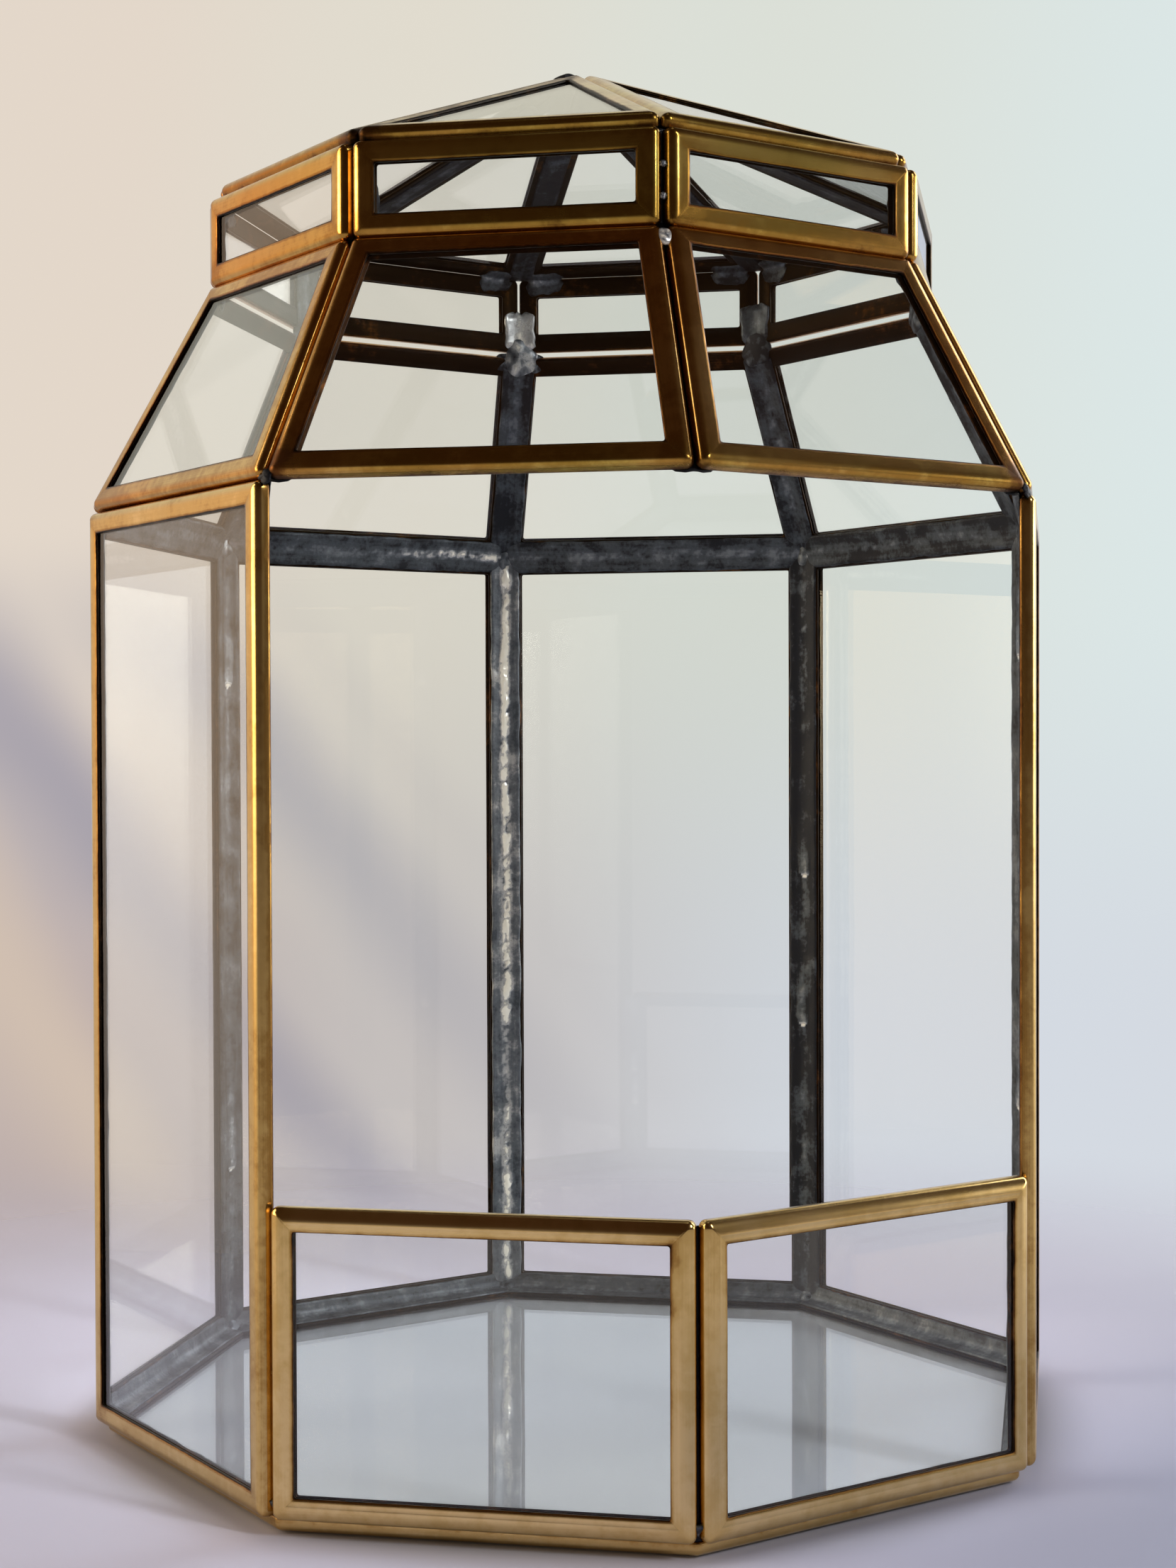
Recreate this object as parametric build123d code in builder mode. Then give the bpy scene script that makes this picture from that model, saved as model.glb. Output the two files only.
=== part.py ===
"""Octagonal glass cloche: flat panes in bent brass channels, soldered along their inner edges.

The frame has its origin at the centre of the underside, +Z up, and the open front faces -Y.
Every panel is laid out on its inner face. Neighbouring panels meet at their inner edges, so
their outer edges stand apart and leave a groove, and the solder lies on the inside.
"""

import os
from math import acos, asin, atan2, cos, degrees, hypot, radians, sin, sqrt, tan

from build123d import *

# ---- Driving dimensions (mm, degrees) ----
sides = 8
wall_width = 86.0  # of a wall panel, from inner edge to inner edge
wall_height = 208.5
sill_height = 63.0
collar_width = 64.7
collar_height = 19.3
collar_base = 265.5  # height of the collar's lower edge
neck_gap = 1.0  # open gap between the roof's and the collar's outer edges
cap_rise = 30.6  # from the collar's top to the point where the cap's inner faces meet

channel_thickness = 3.6
channel_face = 4.9  # how far the channel reaches over the glass
channel_web = 0.6  # metal behind the edge of the glass
channel_back_radius = 1.2
bend_radius = 1.6  # of the channel where it turns a panel's corner
glass_thickness = 2.2
glass_clearance = 0.05

seam_reach = 4.6  # of a solder seam over each channel
seam_edge = 0.25  # its thickness at its edges
seam_crown = 0.95  # its thickness at its middle, between faces in line
seam_flat = 0.35  # the level middle of its face, as a share of the face's width
seam_joint = 0.1  # clear space between seams that don't run on
shoulder_seam_stop = 1.2  # short of the corners where the open front begins
collar_seam_height = 10.5
neck_lap = 0.6  # how far the neck's lumps lap the roof's and the collar's corners
eave_patch_start = 3.0  # from the corner
eave_patch_length = 9.0
cap_seam_stop = 13.6  # clear of the apex, where the channels run together
apex_button_radius = 4.2
apex_button_sink = 0.2  # from the point where the cap's outer faces would meet to its top

# ---- Derived dimensions ----
turn = 360 / sides
half_turn = radians(turn / 2)
wall_apothem = wall_width / 2 / tan(half_turn)
collar_apothem = collar_width / 2 / tan(half_turn)
floor_top = channel_thickness
shoulder = floor_top + wall_height
collar_top = collar_base + collar_height
apex = collar_top + cap_rise

# The roof's outer top edge stops a gap's width under the collar's outer bottom edge.
roof_run = wall_apothem - collar_apothem - channel_thickness
roof_climb = collar_base - neck_gap - shoulder
roof_span = hypot(roof_run, roof_climb)
roof_slant = sqrt(roof_span**2 - channel_thickness**2)
roof_lean = degrees(atan2(roof_run, roof_climb) + asin(channel_thickness / roof_span))
roof_top_apothem = wall_apothem - roof_slant * sin(radians(roof_lean))
roof_top = shoulder + roof_slant * cos(radians(roof_lean))
roof_top_width = 2 * roof_top_apothem * tan(half_turn)

cap_slant = hypot(collar_apothem, cap_rise)
cap_lean = degrees(atan2(collar_apothem, cap_rise))

slot_width = glass_thickness + 2 * glass_clearance
leg = (channel_thickness - slot_width) / 2

# ---- Names of the sides, counter-clockwise from the front, with the way each one faces ----
front_sides = ["front_left", "front_right"]
walled_sides = ["right_front", "right_rear", "rear_right", "rear_left", "left_rear", "left_front"]
side_names = front_sides + walled_sides
facing = {name: 270 - turn / 2 + turn * i for i, name in enumerate(side_names)}
corner_angles = [270 + turn * i for i in range(sides)]
sill_corners = [270 - turn, 270, 270 + turn]


def across(angle, distance, height):
    """The point at a distance from the axis, in the direction of an angle, at a height."""
    return Vector(distance * cos(radians(angle)), distance * sin(radians(angle)), height)


def corner(angle, apothem, height):
    """The corner, in the direction of an angle, of the octagon with this apothem."""
    return across(angle, apothem / cos(half_turn), height)


def panel_plane(angle, apothem, height, lean=0.0):
    """The plane of a panel's inner face: x along its lower edge, y up it, z outwards."""
    outwards = across(angle, cos(radians(lean)), sin(radians(lean)))
    return Plane(origin=across(angle, apothem, height), x_dir=across(angle + 90, 1, 0), z_dir=outwards)


def tapered(width, top_width, height):
    """The corners of a panel that narrows from its lower edge to its upper edge."""
    return [(-width / 2, 0), (width / 2, 0), (top_width / 2, height), (-top_width / 2, height)]


def outline(plane, corners, inset=0.0, radius=0.0):
    """A panel's outline, moved in by an inset, with its corners rounded."""
    with BuildSketch(plane) as sketch:
        with BuildLine():
            Polyline(*corners, close=True)
        make_face()
        if inset:
            offset(amount=-inset, kind=Kind.INTERSECTION)
        if radius:
            fillet(sketch.vertices(), radius)
    return sketch.sketch


def plate(plane, corners):
    """A panel filled in, with the rounded back that its channel gives it."""
    outwards = Axis(plane.origin, plane.z_dir)
    with BuildPart() as body:
        extrude(outline(plane, corners, radius=bend_radius), amount=channel_thickness)
        skins = body.faces().sort_by(outwards)
        fillet(skins[0].edges() + skins[-1].edges(), channel_back_radius)
    return body


def channel(plane, corners):
    """The brass channel round one pane: a ring, open inwards, with a slot for the glass."""
    with BuildPart() as ring:
        add(plate(plane, corners).part)
        extrude(outline(plane, corners, channel_face), amount=channel_thickness, mode=Mode.SUBTRACT)
        slot = outline(plane.offset(leg), corners, channel_web, bend_radius - channel_web)
        extrude(slot, amount=slot_width, mode=Mode.SUBTRACT)
    return ring


def pane(plane, corners):
    """The glass in one channel, clear of it all round."""
    inset = channel_web + glass_clearance
    with BuildPart() as glass:
        sheet = outline(plane.offset(leg + glass_clearance), corners, inset, bend_radius - inset)
        extrude(sheet, amount=glass_thickness)
    return glass


def keep(name, *builders):
    """Write one node: the solids of one or more builders under one label."""
    solids = [solid for builder in builders for solid in builder.part.solids()]
    piece = solids[0] if len(solids) == 1 else Compound(children=solids)
    piece.label = name
    export_step(piece, f"parts/{name}.step")


def seam_plane(start, along, inwards):
    """The plane across a seam at its start: z along the seam, y into the object."""
    return Plane(origin=start, x_dir=inwards.cross(along), z_dir=along)


def seam_section(plane, opening):
    """A seam's section, in the corner between two inner faces that stand at an opening angle.

    The plane's origin is on the faces' shared edge, and its y halves the opening. The face
    towards the room is hollow, in three flats.
    """
    half = radians(opening / 2)
    reach = (seam_reach * sin(half), seam_reach * cos(half))
    edge = (reach[0] - seam_edge * cos(half), reach[1] + seam_edge * sin(half))
    level = (edge[0] * seam_flat, seam_crown / sin(half) ** 2)
    one_side = [reach, edge, level]
    other_side = [(-x, y) for x, y in reversed(one_side)]
    with BuildSketch(plane) as section:
        with BuildLine():
            Polyline((0, 0), *one_side, *other_side, close=True)
        make_face()
    return section.sketch


def corner_opening(lean):
    """The angle inside a corner between neighbouring panels that lean inwards."""
    between_normals = cos(radians(lean)) ** 2 * cos(radians(turn)) + sin(radians(lean)) ** 2
    return 180 - degrees(acos(between_normals))


def corner_section(start, end, angle, lean, along):
    """A corner seam's section, a distance along the inner edge that runs from start to end."""
    direction = (end - start).normalized()
    inwards = direction.cross(across(angle + 90, 1, 0))
    plane = seam_plane(start + direction * along, direction, inwards)
    return seam_section(plane, corner_opening(lean))


def corner_seam(start, end, angle, lean, first, last):
    """A straight seam in a corner, from one distance along the inner edge to another."""
    with BuildPart() as seam:
        extrude(corner_section(start, end, angle, lean, first), amount=last - first)
    return seam


def level_section(angle, apothem, height, sideways, bisector, opening):
    """A level seam's section, a distance sideways from the middle of a side."""
    along = across(angle + 90, 1, 0)
    start = across(angle, apothem, height) + along * sideways
    inwards = across(angle, -cos(radians(bisector)), sin(radians(bisector)))
    return seam_section(seam_plane(start, along, inwards), opening)


def clear_start(start, end, angle):
    """How far up a corner its seam starts, to stand clear of the level seam below it."""
    side = across(angle + 90 + turn / 2, 1, 0)
    base_angle = radians((end - start).get_angle(side))
    return seam_reach * (1 + cos(base_angle)) / sin(base_angle) + seam_joint


os.makedirs("parts", exist_ok=True)

# ---- Walls and sills ----
wall = tapered(wall_width, wall_width, wall_height)
sill = tapered(wall_width, wall_width, sill_height)
for name in walled_sides:
    plane = panel_plane(facing[name], wall_apothem, floor_top)
    keep(f"wall_channel_{name}", channel(plane, wall))
    keep(f"wall_pane_{name}", pane(plane, wall))
for name in front_sides:
    plane = panel_plane(facing[name], wall_apothem, floor_top)
    keep(f"sill_channel_{name}", channel(plane, sill))
    keep(f"sill_pane_{name}", pane(plane, sill))

# ---- Roof ----
roof = tapered(wall_width, roof_top_width, roof_slant)
for name in side_names:
    plane = panel_plane(facing[name], wall_apothem, shoulder, roof_lean)
    keep(f"roof_channel_{name}", channel(plane, roof))
    keep(f"roof_pane_{name}", pane(plane, roof))

# ---- Collar ----
collar = tapered(collar_width, collar_width, collar_height)
collar_planes = [panel_plane(facing[name], collar_apothem, collar_base) for name in side_names]
for name, plane in zip(side_names, collar_planes):
    keep(f"collar_channel_{name}", channel(plane, collar))
keep("collar_panes", *[pane(plane, collar) for plane in collar_planes])

# ---- Cap ----
cap = [(-collar_width / 2, 0), (collar_width / 2, 0), (0, cap_slant)]
cap_planes = [panel_plane(facing[name], collar_apothem, collar_top, cap_lean) for name in side_names]
for name, plane in zip(side_names, cap_planes):
    keep(f"cap_channel_{name}", channel(plane, cap))
keep("cap_panes", *[pane(plane, cap) for plane in cap_planes])

# ---- Floor, laid on its upper face ----
floor_plane = Plane(origin=(0, 0, floor_top), x_dir=(1, 0, 0), z_dir=(0, 0, -1))
floor_corners = [corner(angle, wall_apothem, 0) for angle in corner_angles]
floor = [(point.X, -point.Y) for point in floor_corners]
keep("floor_channel", channel(floor_plane, floor))
keep("floor_pane", pane(floor_plane, floor))

# ---- Solder in the upright corners, full height where two walls meet ----
post_seams = []
for angle in corner_angles:
    foot = corner(angle, wall_apothem, floor_top)
    head = corner(angle, wall_apothem, shoulder)
    top = sill_height - seam_joint if angle % 360 in sill_corners else wall_height - seam_reach
    post_seams.append(corner_seam(foot, head, angle, 0, seam_reach, top))
keep("post_solder", *post_seams)

# ---- Solder round the floor ----
with BuildLine() as floor_edge:
    middle = across(facing["front_left"], wall_apothem, floor_top)
    round_corners = [corner(angle, wall_apothem, floor_top) for angle in corner_angles]
    Polyline(middle, *round_corners, middle)
with BuildPart() as floor_seam:
    section = level_section(facing["front_left"], wall_apothem, floor_top, 0, 45, 90)
    sweep(section, path=floor_edge.wire(), transition=Transition.RIGHT)
keep("floor_solder", floor_seam)

# ---- Solder round the shoulder, on the walled sides ----
shoulder_end = wall_width / 2 - shoulder_seam_stop
first_side, last_side = facing[walled_sides[0]], facing[walled_sides[-1]]
with BuildLine() as shoulder_edge:
    Polyline(
        across(first_side, wall_apothem, shoulder) - across(first_side + 90, shoulder_end, 0),
        *[corner(angle, wall_apothem, shoulder) for angle in corner_angles[2:-1]],
        across(last_side, wall_apothem, shoulder) + across(last_side + 90, shoulder_end, 0),
    )
with BuildPart() as shoulder_seam:
    section = level_section(
        first_side, wall_apothem, shoulder, -shoulder_end, -roof_lean / 2, 180 - roof_lean
    )
    sweep(section, path=shoulder_edge.wire(), transition=Transition.RIGHT)
keep("shoulder_solder", shoulder_seam)

# ---- Solder up the roof's hips, in the neck's corners and in the collar's corners ----
hip_seams, neck_lumps, collar_seams = [], [], []
for angle in corner_angles:
    foot, head = corner(angle, wall_apothem, shoulder), corner(angle, roof_top_apothem, roof_top)
    first, last = clear_start(foot, head, angle), (head - foot).length - neck_lap
    hip_seams.append(corner_seam(foot, head, angle, roof_lean, first, last))
    base = corner(angle, collar_apothem, collar_base)
    rim = corner(angle, collar_apothem, collar_top)
    collar_seams.append(corner_seam(base, rim, angle, 0, neck_lap, collar_seam_height))
    with BuildPart() as lump:
        loft([
            corner_section(foot, head, angle, roof_lean, last),
            corner_section(base, rim, angle, 0, neck_lap),
        ])
        for side in (angle - turn / 2, angle + turn / 2):
            plane = panel_plane(side, wall_apothem, shoulder, roof_lean)
            add(plate(plane, roof).part, mode=Mode.SUBTRACT)
    neck_lumps.append(lump)
keep("hip_solder", *hip_seams)
keep("neck_solder", *neck_lumps)
keep("collar_solder", *collar_seams)

# ---- Patches of solder under the eave, two on each side ----
eave_patches = []
for name in side_names:
    far = collar_width / 2 - eave_patch_start
    for sideways in (-far, far - eave_patch_length):
        with BuildPart() as patch:
            section = level_section(
                facing[name], collar_apothem, collar_top, sideways, -cap_lean / 2, 180 - cap_lean
            )
            extrude(section, amount=eave_patch_length)
        eave_patches.append(patch)
keep("eave_solder", *eave_patches)

# ---- Solder under the cap's hips, and the button where its points meet ----
cap_seams = []
for angle in corner_angles:
    foot, head = corner(angle, collar_apothem, collar_top), Vector(0, 0, apex)
    first, last = clear_start(foot, head, angle), (head - foot).length - cap_seam_stop
    cap_seams.append(corner_seam(foot, head, angle, cap_lean, first, last))

cap_slope = cap_rise / collar_apothem
outer_apex = apex + channel_thickness / sin(radians(cap_lean))
button_rim = apex_button_radius * cap_slope
with BuildPart() as button:
    with BuildSketch(Plane.XZ):
        with BuildLine():
            Polyline(
                (0, outer_apex - apex_button_sink),
                (0, apex - seam_crown),
                (apex_button_radius, apex - button_rim - seam_edge),
                (apex_button_radius, outer_apex - button_rim),
            )
            TangentArc(
                (0, outer_apex - apex_button_sink),
                (apex_button_radius, outer_apex - button_rim),
                tangent=(1, 0),
            )
        make_face()
    revolve(axis=Axis.Z)
    for plane in cap_planes:
        add(plate(plane, cap).part, mode=Mode.SUBTRACT)
keep("cap_solder", *cap_seams, button)

print(f"roof leans {roof_lean:.2f} degrees, slant {roof_slant:.2f}; cap slant {cap_slant:.2f}")
print(f"overall height {outer_apex - apex_button_sink:.2f}")
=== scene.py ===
"""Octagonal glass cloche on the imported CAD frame: bent brass channels, clear panes and lumpy solder."""

import math
import random

import bpy
from mathutils import Matrix, Vector, noise


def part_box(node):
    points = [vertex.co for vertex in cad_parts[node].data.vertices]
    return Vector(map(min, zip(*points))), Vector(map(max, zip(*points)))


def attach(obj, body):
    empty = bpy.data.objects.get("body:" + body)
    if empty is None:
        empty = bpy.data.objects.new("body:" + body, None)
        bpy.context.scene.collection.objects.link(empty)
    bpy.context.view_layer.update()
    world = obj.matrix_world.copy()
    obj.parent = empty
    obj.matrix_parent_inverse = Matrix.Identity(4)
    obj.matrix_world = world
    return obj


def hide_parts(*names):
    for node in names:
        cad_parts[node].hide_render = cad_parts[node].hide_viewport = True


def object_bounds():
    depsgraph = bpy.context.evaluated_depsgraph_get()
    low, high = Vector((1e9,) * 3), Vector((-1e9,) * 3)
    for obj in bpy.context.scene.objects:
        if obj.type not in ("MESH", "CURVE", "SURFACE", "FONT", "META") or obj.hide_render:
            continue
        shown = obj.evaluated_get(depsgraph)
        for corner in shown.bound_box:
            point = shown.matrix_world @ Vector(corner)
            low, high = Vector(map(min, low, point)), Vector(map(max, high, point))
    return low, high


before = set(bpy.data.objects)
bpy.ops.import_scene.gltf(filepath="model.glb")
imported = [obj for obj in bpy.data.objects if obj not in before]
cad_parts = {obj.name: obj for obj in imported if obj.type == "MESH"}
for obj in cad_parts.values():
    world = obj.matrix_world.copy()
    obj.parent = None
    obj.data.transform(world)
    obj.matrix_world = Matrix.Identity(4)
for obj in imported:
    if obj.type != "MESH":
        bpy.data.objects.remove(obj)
cad_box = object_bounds()

MM = 0.001
Z = Vector((0, 0, 1))

# ---- The cloche's layout, as in the CAD (metres, degrees) ----
SIDE_ANGLES = {
    "front_left": 247.5,
    "front_right": 292.5,
    "right_front": 337.5,
    "right_rear": 22.5,
    "rear_right": 67.5,
    "rear_left": 112.5,
    "left_rear": 157.5,
    "left_front": 202.5,
}
OPEN_SIDES = ("front_left", "front_right")
WALLED_SIDES = [side for side in SIDE_ANGLES if side not in OPEN_SIDES]
HALF_TURN = math.radians(22.5)

WALL_WIDTH = 86.0 * MM
COLLAR_WIDTH = 64.7 * MM
CAP_RISE = 30.6 * MM
CHANNEL_THICKNESS = 3.6 * MM
CHANNEL_FACE = 4.9 * MM
BEND_RADIUS = 1.6 * MM

FLOOR_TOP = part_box("wall_channel_left_rear")[0].z
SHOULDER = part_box("wall_channel_left_rear")[1].z
SILL_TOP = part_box("sill_channel_front_left")[1].z
COLLAR_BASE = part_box("collar_channel_front_left")[0].z
COLLAR_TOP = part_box("collar_channel_front_left")[1].z
NECK_GAP = 1.0 * MM

WALL_APOTHEM = WALL_WIDTH / 2 / math.tan(HALF_TURN)
COLLAR_APOTHEM = COLLAR_WIDTH / 2 / math.tan(HALF_TURN)
roof_run = WALL_APOTHEM - COLLAR_APOTHEM - CHANNEL_THICKNESS
roof_climb = COLLAR_BASE - NECK_GAP - SHOULDER
roof_span = math.hypot(roof_run, roof_climb)
ROOF_SLANT = math.sqrt(roof_span**2 - CHANNEL_THICKNESS**2)
ROOF_LEAN = math.atan2(roof_run, roof_climb) + math.asin(CHANNEL_THICKNESS / roof_span)
ROOF_TOP_APOTHEM = WALL_APOTHEM - ROOF_SLANT * math.sin(ROOF_LEAN)
ROOF_TOP = SHOULDER + ROOF_SLANT * math.cos(ROOF_LEAN)
ROOF_TOP_WIDTH = 2 * ROOF_TOP_APOTHEM * math.tan(HALF_TURN)
CAP_SLANT = math.hypot(COLLAR_APOTHEM, CAP_RISE)
CAP_LEAN = math.atan2(COLLAR_APOTHEM, CAP_RISE)
APEX = COLLAR_TOP + CAP_RISE


class Panel:
    """A flat panel laid out on its inner face: along its lower edge, up it, and outwards."""

    def __init__(self, origin, along, up, outline):
        self.origin, self.along, self.up = origin, along, up
        self.normal = along.cross(up)
        self.outline = [Vector(p) for p in outline]

    def at(self, x, y, z=0.0):
        return self.origin + self.along * x + self.up * y + self.normal * z


def compass(degrees):
    return Vector((math.cos(math.radians(degrees)), math.sin(math.radians(degrees)), 0))


def side_panel(side, apothem, height, lean, bottom, top, slant):
    """One of the eight panels of a ring, leaning inwards."""
    out = compass(SIDE_ANGLES[side])
    up = Z * math.cos(lean) - out * math.sin(lean)
    outline = [(-bottom / 2, 0), (bottom / 2, 0)]
    outline += [(top / 2, slant), (-top / 2, slant)] if top else [(0, slant)]
    return Panel(out * apothem + Z * height, Z.cross(out), up, outline)


def wall_panel(side):
    height = (SILL_TOP if side in OPEN_SIDES else SHOULDER) - FLOOR_TOP
    return side_panel(side, WALL_APOTHEM, FLOOR_TOP, 0, WALL_WIDTH, WALL_WIDTH, height)


def roof_panel(side):
    widths = (WALL_WIDTH, ROOF_TOP_WIDTH)
    return side_panel(side, WALL_APOTHEM, SHOULDER, ROOF_LEAN, *widths, ROOF_SLANT)


def collar_panel(side):
    height = COLLAR_TOP - COLLAR_BASE
    return side_panel(side, COLLAR_APOTHEM, COLLAR_BASE, 0, COLLAR_WIDTH, COLLAR_WIDTH, height)


def cap_panel(side):
    return side_panel(side, COLLAR_APOTHEM, COLLAR_TOP, CAP_LEAN, COLLAR_WIDTH, 0, CAP_SLANT)


def floor_panel():
    radius = WALL_APOTHEM / math.cos(HALF_TURN)
    corners = [compass(-45 * k) * radius for k in range(8)]
    return Panel(Z * FLOOR_TOP, Vector((1, 0, 0)), Vector((0, -1, 0)), [(c.x, -c.y) for c in corners])


# ---- Materials ----
def node_material(name):
    """A new material and its empty node tree."""
    material = bpy.data.materials.new(name)
    material.use_nodes = True
    tree = material.node_tree
    tree.nodes.clear()
    return material, tree


def add(tree, kind, values=None, **settings):
    """A new node: values go to its sockets, settings to its own options."""
    node = tree.nodes.new(kind)
    for key, value in settings.items():
        setattr(node, key, value)
    for key, value in (values or {}).items():
        node.inputs[key].default_value = value
    return node


def link(tree, source, target):
    tree.links.new(source, target)


def finish_tree(tree, shader, kind="ShaderNodeOutputMaterial"):
    link(tree, shader.outputs[0], add(tree, kind).inputs["Surface"])


def noise_texture(tree, vector, scale, detail=4.0, roughness=0.55, distortion=0.0):
    """Noise of so many features to the metre, read at a vector socket."""
    values = {"Scale": scale, "Detail": detail, "Roughness": roughness, "Distortion": distortion}
    node = add(tree, "ShaderNodeTexNoise", values)
    link(tree, vector, node.inputs["Vector"])
    return node.outputs["Fac"]


def streak_texture(tree, vector, lengthwise, crosswise, **how):
    """Noise drawn out along a UV map: so many features to the metre each way."""
    node = add(tree, "ShaderNodeMapping", {"Scale": (lengthwise, crosswise, 1.0)})
    link(tree, vector, node.inputs["Vector"])
    return noise_texture(tree, node.outputs["Vector"], 1.0, **how)


def ramp(tree, factor, stops):
    """An eased colour or grey ramp through (position, colour) stops."""
    node = add(tree, "ShaderNodeValToRGB")
    elements = node.color_ramp.elements
    while len(elements) < len(stops):
        elements.new(0.5)
    for element, (position, colour) in zip(elements, stops):
        element.position = position
        element.color = (*colour, 1) if isinstance(colour, tuple) else (colour, colour, colour, 1)
    node.color_ramp.interpolation = "EASE"
    link(tree, factor, node.inputs["Fac"])
    return node.outputs["Color"]


def mix_colour(tree, factor, first, second, blend="MIX"):
    """Mix two colours; each argument is a socket or a value."""
    node = add(tree, "ShaderNodeMix", data_type="RGBA", blend_type=blend)
    sockets = [s for s in node.inputs if s.enabled and s.type in ("VALUE", "RGBA")]
    for name, value in (("Factor", factor), ("A", first), ("B", second)):
        socket = next(s for s in sockets if s.name == name)
        if isinstance(value, (tuple, float)):
            socket.default_value = (*value, 1) if isinstance(value, tuple) else value
        else:
            link(tree, value, socket)
    return next(s for s in node.outputs if s.type == "RGBA")


def math_node(tree, operation, first, second):
    """Combine two numbers; each is a socket or a float."""
    node = add(tree, "ShaderNodeMath", operation=operation)
    for k, value in enumerate((first, second)):
        if isinstance(value, float):
            node.inputs[k].default_value = value
        else:
            link(tree, value, node.inputs[k])
    return node.outputs[0]


def product(tree, *factors):
    result = factors[0]
    for factor in factors[1:]:
        result = math_node(tree, "MULTIPLY", result, factor)
    return result


def weighted_sum(tree, *terms):
    """The sum of (socket, weight) terms."""
    total = product(tree, *terms[0])
    for term in terms[1:]:
        total = math_node(tree, "ADD", total, product(tree, *term))
    return total


def smooth_range(tree, value, start, stop):
    """0 at start, 1 at stop, eased between them."""
    limits = {"From Min": start, "From Max": stop}
    node = add(tree, "ShaderNodeMapRange", limits, interpolation_type="SMOOTHSTEP")
    link(tree, value, node.inputs["Value"])
    return node.outputs[0]


def separate(tree, vector):
    """A vector's x, y and z sockets."""
    node = add(tree, "ShaderNodeSeparateXYZ")
    link(tree, vector, node.inputs[0])
    return node.outputs


def bump(tree, height, distance, strength, below=None):
    node = add(tree, "ShaderNodeBump", {"Strength": strength, "Distance": distance})
    link(tree, height, node.inputs["Height"])
    if below is not None:
        link(tree, below, node.inputs["Normal"])
    return node.outputs["Normal"]


# the metals' colours: how worn the brass is plus painted shade, or how scuffed the solder is plus painted
# highlight, and its colour there
BRASS_TONES = [
    (0.36, (0.82, 0.60, 0.28)),
    (0.52, (0.68, 0.47, 0.18)),
    (0.68, (0.44, 0.25, 0.07)),
    (0.86, (0.12, 0.05, 0.016)),
    (1.0, (0.014, 0.008, 0.005)),
]
SOLDER_TONES = [
    (0.30, (0.012, 0.013, 0.019)),
    (0.42, (0.060, 0.070, 0.088)),
    (0.54, (0.14, 0.158, 0.19)),
    (0.68, (0.46, 0.47, 0.50)),
    (0.85, (0.98, 0.96, 0.90)),
]
# the brass's colour is multiplied by these where it has turned
OLIVE, REDDISH = (0.80, 0.88, 0.60), (0.95, 0.72, 0.50)


def make_brass():
    """Aged yellow brass: satin with drawn streaks, tan where handled, brown where tarnished, and darkened to
    near black by painted shade in its slots, along its lips and on its inside faces.
    """
    material, tree = node_material("aged_brass")
    place = add(tree, "ShaderNodeTexCoord").outputs["Object"]
    drawn = add(tree, "ShaderNodeUVMap", uv_map="Along").outputs["UV"]
    age = add(tree, "ShaderNodeAttribute", attribute_name="age").outputs["Fac"]
    patches = noise_texture(tree, place, 55.0, detail=5.0, roughness=0.6, distortion=0.6)
    mottle = noise_texture(tree, place, 420.0, roughness=0.65)
    tint = noise_texture(tree, place, 22.0, detail=2.0, roughness=0.5)
    streaks = streak_texture(tree, drawn, 30.0, 2600.0, roughness=0.6)
    grain = streak_texture(tree, drawn, 220.0, 9000.0, detail=3.0, roughness=0.7)

    # the per-point value adds painted shade in the slots, along the lips, on the inside faces and by the
    # corners, besides the tarnish
    wear_and_shade = weighted_sum(tree, (patches, 0.45), (mottle, 0.25), (streaks, 0.14), (age, 0.6))
    colour = ramp(tree, wear_and_shade, BRASS_TONES)
    # olive round the collar, the cap and the eaves, but not on the left; reddish on the roof; in patches
    x, _, height = separate(tree, place)
    drift = ramp(tree, tint, [(0.38, 0.35), (0.6, 1.0)])
    crown = smooth_range(tree, height, COLLAR_BASE - 2 * MM, COLLAR_BASE + 1 * MM)
    eave_start = smooth_range(tree, height, SHOULDER - 1 * MM, SHOULDER)
    eave_end = smooth_range(tree, height, SHOULDER + 8 * MM, SHOULDER + 4 * MM)
    olive = math_node(tree, "MAXIMUM", crown, product(tree, eave_start, eave_end))
    olive = product(tree, olive, drift, smooth_range(tree, x, -85 * MM, -50 * MM))
    roof = product(tree, smooth_range(tree, height, SHOULDER - 2 * MM, SHOULDER + 2 * MM), drift)
    reddish = mix_colour(tree, roof, colour, mix_colour(tree, 1.0, colour, REDDISH, "MULTIPLY"))
    tinted = mix_colour(tree, olive, reddish, mix_colour(tree, 1.0, colour, OLIVE, "MULTIPLY"))
    normal = bump(tree, grain, distance=0.001 * MM, strength=0.2)
    normal = bump(tree, mottle, distance=0.02 * MM, strength=0.3, below=normal)

    shader = add(tree, "ShaderNodeBsdfPrincipled", {"Metallic": 1.0})
    link(tree, tinted, shader.inputs["Base Color"])
    roughness = ramp(tree, wear_and_shade, [(0.3, 0.19), (0.6, 0.20), (1.0, 0.45)])
    link(tree, roughness, shader.inputs["Roughness"])
    link(tree, normal, shader.inputs["Normal"])
    finish_tree(tree, shader)
    return material


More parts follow.
